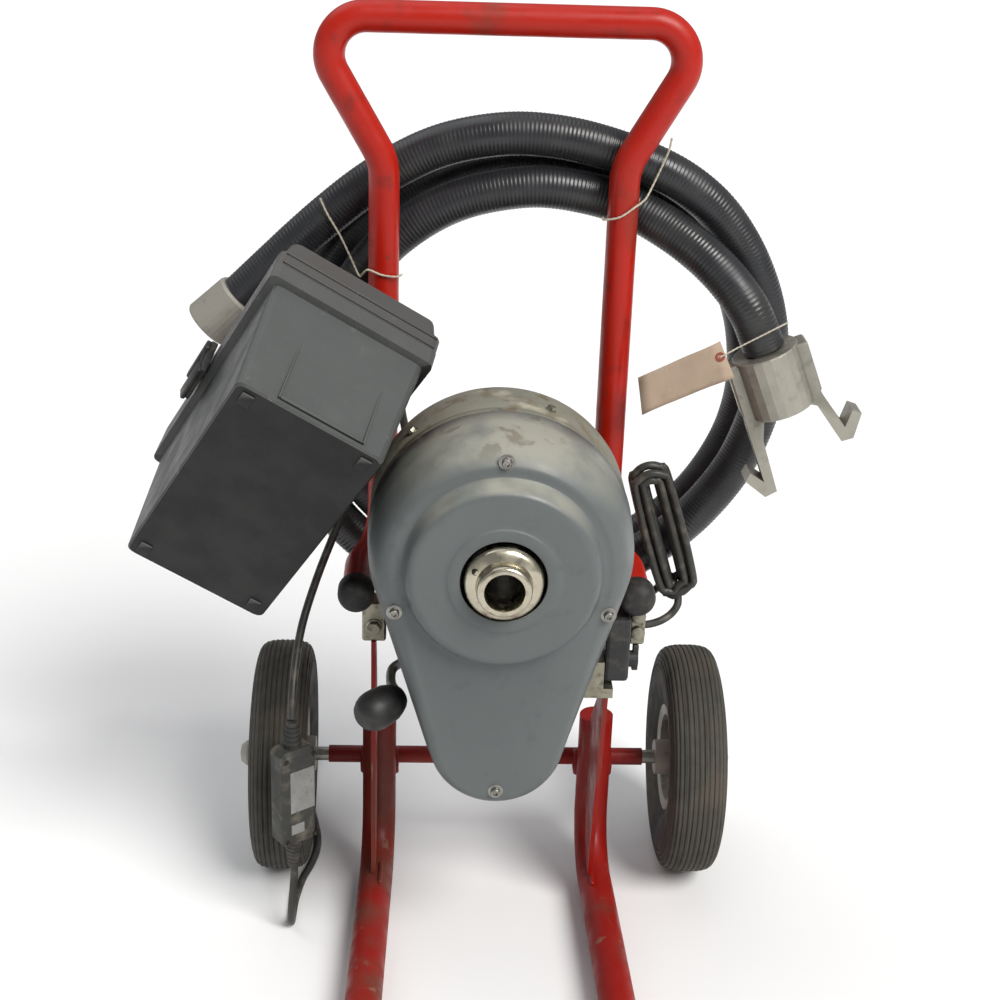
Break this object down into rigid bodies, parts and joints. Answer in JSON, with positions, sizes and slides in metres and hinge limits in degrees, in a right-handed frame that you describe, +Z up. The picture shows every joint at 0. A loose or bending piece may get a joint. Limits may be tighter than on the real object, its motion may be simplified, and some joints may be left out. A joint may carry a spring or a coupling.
{
  "type": "drain snake machine",
  "caption": "Sectional drain cleaning machine on a two-wheeled tube frame, with belt drive, clutch lever, hanging toolbox, coiled guide hose and power cord with in-line ground fault switch.",
  "frame": {"origin": "middle of the base of the machine without its hose and cord, on the floor", "axes": "+Z up; -Y is the machine's front, where the hub and the belt guard face; +X is on the right of someone who faces the front"},
  "size_m": [0.7505, 0.7162, 0.9851],
  "materials": {
    "red_paint": "gloss enamel, worn and dusty",
    "steel": "bare machined steel",
    "dark_steel": "blackened steel screws",
    "wheel_rim": "pressed steel, painted pale grey",
    "tyre": "dusty solid ribbed rubber",
    "black_rubber": "black rubber",
    "zinc": "dull zinc plate",
    "cast_aluminium": "cast, dirty",
    "grey_cover": "blue-grey enamel on a light alloy cover",
    "nickel": "nickel plated",
    "motor_paint": "black painted motor",
    "black_plastic": "moulded",
    "box_plastic": "grained dark grey moulding",
    "hose": "black hose with fine wound ribs, satin",
    "cord": "black rubber sheathed cord",
    "button_dark": "moulded",
    "button_red": "moulded"
  },
  "bodies": {
    "machine": {"handle_frame": "red_paint", "leg_left": "red_paint", "leg_right": "red_paint", "axle_tube": "red_paint", "axle_rod": "steel", "axle_cap_left": "wheel_rim", "axle_cap_right": "wheel_rim", "foot_cap_left": "black_rubber", "foot_cap_right": "black_rubber", "arm_cap_left": "black_rubber", "arm_cap_right": "black_rubber", "arm_clamp_left": "zinc", "arm_clamp_right": "zinc", "side_plate_left": "red_paint", "side_plate_right": "red_paint", "rear_housing": "cast_aluminium", "belt_guard_back": "cast_aluminium", "belt_guard_cover": "grey_cover", "cover_screw_top": "dark_steel", "cover_screw_left": "dark_steel", "cover_screw_right": "dark_steel", "cover_screw_bottom": "dark_steel", "front_bearing": "steel", "rear_bearing": "steel", "motor_body": "motor_paint", "drive_belt": "black_rubber", "switch_box": "black_plastic", "switch_bracket": "zinc", "cord_gland": "black_rubber", "hose_flange": "cast_aluminium", "toolbox_body": "box_plastic", "guide_hose_coil": "hose", "guide_hose_end": "hose", "hose_ferrule": "cast_aluminium", "hose_fork": "cast_aluminium", "cord_hank": "cord", "cord_feed": "cord", "cord_run": "cord", "cord_tail": "cord", "gfci_body": "black_plastic", "power_plug": "black_rubber"},
    "wheel_left": {"tyre_left": "tyre", "rim_left": "wheel_rim"},
    "wheel_right": {"tyre_right": "tyre", "rim_right": "wheel_rim"},
    "spindle": {"spindle_tube": "steel", "spindle_pulley": "cast_aluminium", "front_hub": "nickel"},
    "jaw_1": {"clutch_jaw_1": "steel"},
    "jaw_2": {"clutch_jaw_2": "steel"},
    "jaw_3": {"clutch_jaw_3": "steel"},
    "collar": {"thrust_collar": "steel"},
    "clutch_handle": {"clutch_lever": "steel", "clutch_grip": "black_rubber"},
    "motor_rotor": {"motor_pulley": "steel"},
    "switch_knob": {"switch_lever": "black_plastic"},
    "box_lid": {"toolbox_lid": "box_plastic"},
    "box_latch": {"toolbox_latch": "black_plastic"},
    "test_button": {"gfci_test_button": "button_dark"},
    "reset_button": {"gfci_reset_button": "button_red"}
  },
  "joints": [
    {"name": "wheel_left_spin", "type": "hinge", "parent": "machine", "child": "wheel_left", "pos_m": [-0.19386, 0.16615, 0.132], "axis": [1, 0, 0], "continuous": true},
    {"name": "wheel_right_spin", "type": "hinge", "parent": "machine", "child": "wheel_right", "pos_m": [0.27414, 0.16615, 0.132], "axis": [1, 0, 0], "continuous": true},
    {"name": "spindle_spin", "type": "hinge", "parent": "machine", "child": "spindle", "pos_m": [0.04014, -0.03385, 0.488], "axis": [0, 1, 0], "continuous": true},
    {"name": "motor_spin", "type": "hinge", "parent": "machine", "child": "motor_rotor", "pos_m": [0.04014, -0.02385, 0.2935], "axis": [0, 1, 0], "continuous": true},
    {"name": "clutch_lever_pull", "type": "hinge", "parent": "machine", "child": "clutch_handle", "pos_m": [-0.03786, 0.01615, 0.345], "axis": [0, 1, 0], "range_deg": [0, 35]},
    {"name": "collar_slide", "type": "slide", "parent": "machine", "child": "collar", "axis": [0, -1, 0], "range_m": [0, 0.006]},
    {"name": "jaw_1_slide", "type": "slide", "parent": "spindle", "child": "jaw_1", "axis": [0, 0, 1], "range_m": [0, 0.003]},
    {"name": "jaw_2_slide", "type": "slide", "parent": "spindle", "child": "jaw_2", "axis": [0.866, 0, -0.5], "range_m": [0, 0.003]},
    {"name": "jaw_3_slide", "type": "slide", "parent": "spindle", "child": "jaw_3", "axis": [-0.866, 0, -0.5], "range_m": [0, 0.003]},
    {"name": "switch_turn", "type": "hinge", "parent": "machine", "child": "switch_knob", "pos_m": [0.18034, 0.03715, 0.331], "axis": [1, 0, 0], "range_deg": [-40, 40]},
    {"name": "lid_hinge", "type": "hinge", "parent": "machine", "child": "box_lid", "pos_m": [-0.08886, 0.06055, 0.55993], "axis": [-0.4656, 0.4018, -0.7885], "range_deg": [0, 5]},
    {"name": "latch_hinge", "type": "hinge", "parent": "box_lid", "child": "box_latch", "pos_m": [-0.25583, 0.07348, 0.64481], "axis": [-0.4656, 0.4018, -0.7885], "range_deg": [0, 75]},
    {"name": "test_press", "type": "slide", "parent": "machine", "child": "test_button", "axis": [0.6018, -0.7986, 0], "range_m": [0, 0.0015], "stiffness_N_per_m": 400},
    {"name": "reset_press", "type": "slide", "parent": "machine", "child": "reset_button", "axis": [0.6018, -0.7986, 0], "range_m": [0, 0.0015], "stiffness_N_per_m": 400}
  ],
  "couplings": [
    {"joint": "motor_spin", "follows": "spindle_spin", "ratio": 3.6923},
    {"joint": "collar_slide", "follows": "clutch_lever_pull", "m_per_rad": 0.009004},
    {"joint": "jaw_1_slide", "follows": "clutch_lever_pull", "m_per_rad": 0.004584},
    {"joint": "jaw_2_slide", "follows": "clutch_lever_pull", "m_per_rad": 0.004584},
    {"joint": "jaw_3_slide", "follows": "clutch_lever_pull", "m_per_rad": 0.004584}
  ]
}
